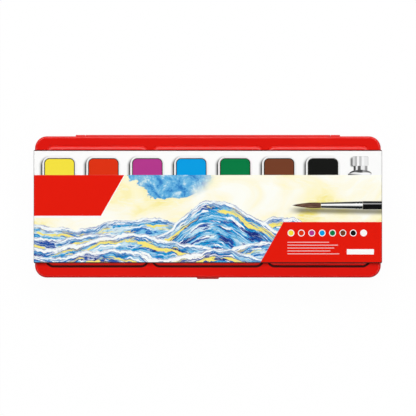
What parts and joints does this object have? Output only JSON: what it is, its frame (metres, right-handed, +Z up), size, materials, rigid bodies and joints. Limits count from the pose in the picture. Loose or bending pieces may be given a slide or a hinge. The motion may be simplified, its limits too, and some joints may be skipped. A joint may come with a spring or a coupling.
{
  "type": "gouache paint set box",
  "caption": "Flat hinged tin of pan gouache with a card sleeve, a palette lid, a pan tray, a tube of white with a screw cap, and a brush.",
  "frame": {"origin": "middle of the underside of the card sleeve, on the surface that the set lies on", "axes": "+X along the tin, towards the tube; +Y from the thumb lip to the hinge; +Z up through the lid"},
  "size_m": [0.2316, 0.096, 0.0216],
  "materials": {
    "red_lacquer": "gloss",
    "steel_wire": "satin",
    "white_tray": "satin",
    "white_pan": "gloss",
    "gouache_yellow": "matte",
    "gouache_orange_red": "matte",
    "gouache_magenta": "matte",
    "gouache_blue": "matte",
    "gouache_green": "matte",
    "gouache_brown": "matte",
    "gouache_black": "matte",
    "gouache_white": "matte",
    "tube_foil": "lacquered",
    "white_cap": "satin",
    "black_lacquer": "lacquered",
    "nickel": "polished",
    "brown_hair": "hair",
    "printed_card": "printed, semi-gloss"
  },
  "bodies": {
    "base": {"tin_base": "red_lacquer", "hinge_pin": "steel_wire", "tray": "white_tray", "pan_yellow": "white_pan", "pan_orange_red": "white_pan", "pan_magenta": "white_pan", "pan_blue": "white_pan", "pan_green": "white_pan", "pan_brown": "white_pan", "pan_black": "white_pan", "paint_yellow": "gouache_yellow", "paint_orange_red": "gouache_orange_red", "paint_magenta": "gouache_magenta", "paint_blue": "gouache_blue", "paint_green": "gouache_green", "paint_brown": "gouache_brown", "paint_black": "gouache_black", "tube_body": "tube_foil", "tube_paint": "gouache_white", "brush_handle": "black_lacquer", "brush_ferrule": "nickel", "brush_tuft": "brown_hair"},
    "lid": {"tin_lid": "red_lacquer"},
    "sleeve_top": {"sleeve_upper": "printed_card"},
    "sleeve_bottom": {"sleeve_lower": "printed_card"},
    "cap_seal": {"tube_cap_liner": "white_cap"},
    "cap": {"tube_cap": "white_cap"}
  },
  "joints": [
    {"name": "lid_hinge", "type": "hinge", "parent": "base", "child": "lid", "pos_m": [0, 0.04725, 0.012], "axis": [-1, 0, 0], "range_deg": [0, 180]},
    {"name": "sleeve_slide", "type": "slide", "parent": "lid", "child": "sleeve_top", "axis": [0, -1, 0], "range_m": [0, 0.15]},
    {"name": "sleeve_bottom_slide", "type": "slide", "parent": "base", "child": "sleeve_bottom", "axis": [0, -1, 0], "range_m": [0, 0.15]},
    {"name": "cap_rise", "type": "slide", "parent": "base", "child": "cap_seal", "axis": [0, 1, 0], "range_m": [0, 0.0045]},
    {"name": "cap_turn", "type": "hinge", "parent": "cap_seal", "child": "cap", "pos_m": [0.10096, 0.03, 0.0097], "axis": [0, 1, 0], "range_deg": [0, 1080]}
  ],
  "couplings": [
    {"joint": "sleeve_bottom_slide", "follows": "sleeve_slide", "ratio": 1},
    {"joint": "cap_turn", "follows": "cap_rise", "rad_per_m": 4188.8}
  ]
}
